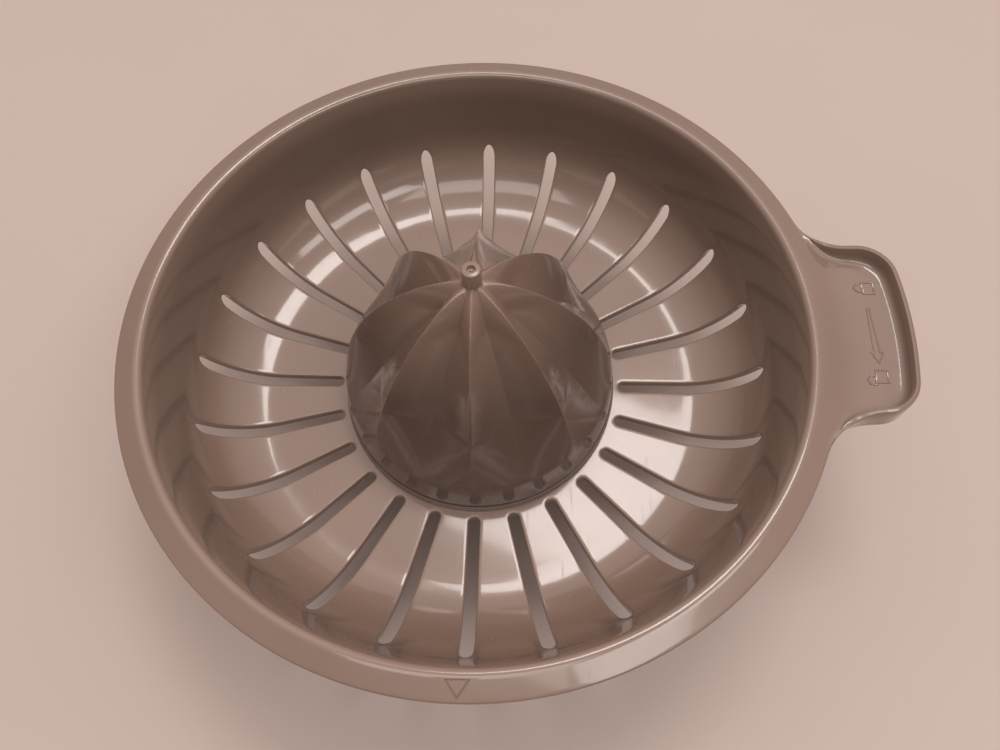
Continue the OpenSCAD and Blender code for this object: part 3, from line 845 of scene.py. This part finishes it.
def table_top():
    """The pale plain floor, with a faint paper grain."""
    made = Shader("table_top", srgb(203, 189, 182), 0.75)
    made.colours(made.ramp(made.noise(3.0, 3.0), 0.3, 0.7, 0, 1), srgb(201, 187, 180),
                 srgb(205, 192, 186))
    made.roughness(made.ramp(made.noise(30.0), 0.3, 0.7, 0.7, 0.85))
    made.bump(made.noise(900.0, 3.0), 0.02)
    return made.material


def dress(nodes, material):
    for name in nodes:
        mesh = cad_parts[name].data
        mesh.materials.clear()
        mesh.materials.append(material)


# ---- Light, floor and camera ----

ROOM_BASE = 0.08
ROOM_GAIN = 1.45
ROOM_FALLOFF = 3.0


def direction(azimuth, elevation):
    a, e = math.radians(azimuth), math.radians(elevation)
    return Vector((math.cos(a) * math.cos(e), math.sin(a) * math.cos(e), math.sin(e)))


def area_light(name, azimuth, elevation, distance, size, power, colour):
    lamp = bpy.data.lights.new(name, "AREA")
    lamp.shape = "RECTANGLE"
    lamp.size, lamp.size_y = size
    lamp.energy = power
    lamp.color = colour
    obj = bpy.data.objects.new(name, lamp)
    bpy.context.scene.collection.objects.link(obj)
    aim = Vector((0, 0, FLOOR_Z * MM))
    away = direction(azimuth, elevation)
    obj.location = aim + away * distance
    obj.rotation_mode = "QUATERNION"
    obj.rotation_quaternion = away.to_track_quat("Z", "Y")


def floor_plane():
    """A wide table top at the height of the gearbox's foot."""
    skin = Skin()
    reach, foot = 4000.0, cup_low[2]
    corners = [(-reach, -reach, foot), (reach, -reach, foot), (reach, reach, foot),
               (-reach, reach, foot)]
    skin.faces.append(tuple(skin.add(corners)))
    obj = skin.piece("table_top")
    obj.data.materials.append(table_top())


def studio():
    """A lamp over the back, a window, a fill in front, and a room brightest high at the back."""
    area_light("overhead_lamp", 69, 71, 1.3, (0.48, 0.33), 3.3, (1.0, 0.95, 0.92))
    area_light("window", -35, 54, 1.3, (0.8, 0.25), 2.4, (1.0, 0.94, 0.91))
    area_light("front_fill", -96, 66, 1.5, (0.9, 0.5), 3.0, (1.0, 0.94, 0.9))
    world = bpy.data.worlds.new("studio")
    world.use_nodes = True
    tree = world.node_tree
    back = tree.nodes["Background"]
    back.inputs["Color"].default_value = (*srgb(232, 214, 206), 1)
    # Strength: a base, and a gain that falls off with the angle from the brightest direction
    towards = tree.nodes.new("ShaderNodeVectorMath")
    towards.operation = "DOT_PRODUCT"
    towards.inputs[1].default_value = direction(80, 70)
    share = tree.nodes.new("ShaderNodeMapRange")
    share.inputs["From Min"].default_value = -0.5
    falloff = tree.nodes.new("ShaderNodeMath")
    falloff.operation = "POWER"
    falloff.inputs[1].default_value = ROOM_FALLOFF
    level = tree.nodes.new("ShaderNodeMath")
    level.operation = "MULTIPLY_ADD"
    level.inputs[1].default_value = ROOM_GAIN
    level.inputs[2].default_value = ROOM_BASE
    place = tree.nodes.new("ShaderNodeTexCoord")
    tree.links.new(place.outputs["Generated"], towards.inputs[0])
    tree.links.new(towards.outputs["Value"], share.inputs["Value"])
    tree.links.new(share.outputs["Result"], falloff.inputs[0])
    tree.links.new(falloff.outputs[0], level.inputs[0])
    tree.links.new(level.outputs[0], back.inputs["Strength"])
    bpy.context.scene.world = world
    bpy.context.scene.view_settings.view_transform = "Standard"


def camera():
    """A wide angle from close by, in front of the bowl and high above it."""
    data = bpy.data.cameras.new("camera")
    data.sensor_fit = "HORIZONTAL"
    data.sensor_width = 36.0
    data.lens = 30.455
    obj = bpy.data.objects.new("camera", data)
    bpy.context.scene.collection.objects.link(obj)
    place = Vector((12.36, -106.36, 244.83)) * MM
    right = Vector((0.99941, 0.03062, -0.01562))
    up = Vector((-0.02046, 0.89513, 0.44534))
    turn = Matrix((right, up, right.cross(up))).transposed().to_4x4()
    obj.matrix_world = Matrix.Translation(place) @ turn
    bpy.context.scene.camera = obj


PLASTIC = srgb(142, 121, 109)
# The reamer's colour is the bowl's plastic made darker as painted shade.
CONE_PLASTIC_SHADED = srgb(117, 98, 88)
# Painted light and shade: factors on the colour by height, fitted to how light and dark the
# object looks. The wall is painted darkest between the floor and the rim, and the reamer is
# painted darker at its foot and paler towards its tip. The plastic itself is opaque here.
BOWL_PAINTED_SHADE = [(FLOOR_Z + 9, 1.0), (FLOOR_Z + 19, 0.74), (RIM_Z - 6, 0.74), (RIM_Z - 1, 1.0)]
CONE_PAINTED_LIGHT_AND_SHADE = [(FLOOR_Z + 8, 0.6), (FLOOR_Z + 33, 0.78), (FLOOR_Z + 46, 1.55), (FLOOR_Z + 54, 1.6)]

bowl_material = moulded("smoked_plastic", PLASTIC, 0.16, 0.12, 0.2, BOWL_PAINTED_SHADE, IOR=1.53,
                        Coat_Weight=0.85, Coat_Roughness=0.06)
cone_material = moulded("cone_plastic", CONE_PLASTIC_SHADED, 0.2, 0.09, 0.3, CONE_PAINTED_LIGHT_AND_SHADE, IOR=1.53,
                        Coat_Weight=0.6, Coat_Roughness=0.13)

bowl = sieve()
bowl.data.materials.append(bowl_material)
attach(bowl, "sieve")
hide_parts("sieve_bowl")

symbols = tab_symbols()
symbols.data.materials.append(bowl_material)
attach(symbols, "sieve")

cone = reamer()
cone.data.materials.append(cone_material)
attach(cone, "reamer")
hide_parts("reamer_cone")

dress(["gearbox_cup"], moulded("gearbox_plastic", srgb(92, 79, 73), 0.34, 0.03, 0.15))
dress(["ring_gear", "sun_gear", "planet_gear_1", "planet_gear_2", "planet_gear_3",
       "planet_carrier", "carrier_plate"], acetal())
dress(["input_bush", "lower_bush", "upper_bush"], sintered_bronze())
dress(["cover_screws", "carrier_screws", "planet_pins", "output_shaft", "lower_thrust_washer",
       "upper_thrust_washer", "retaining_ring"], turned_steel())
dress(["gearbox_gasket", "shaft_seal"], rubber())

floor_plane()
studio()
camera()

bpy.context.view_layer.update()
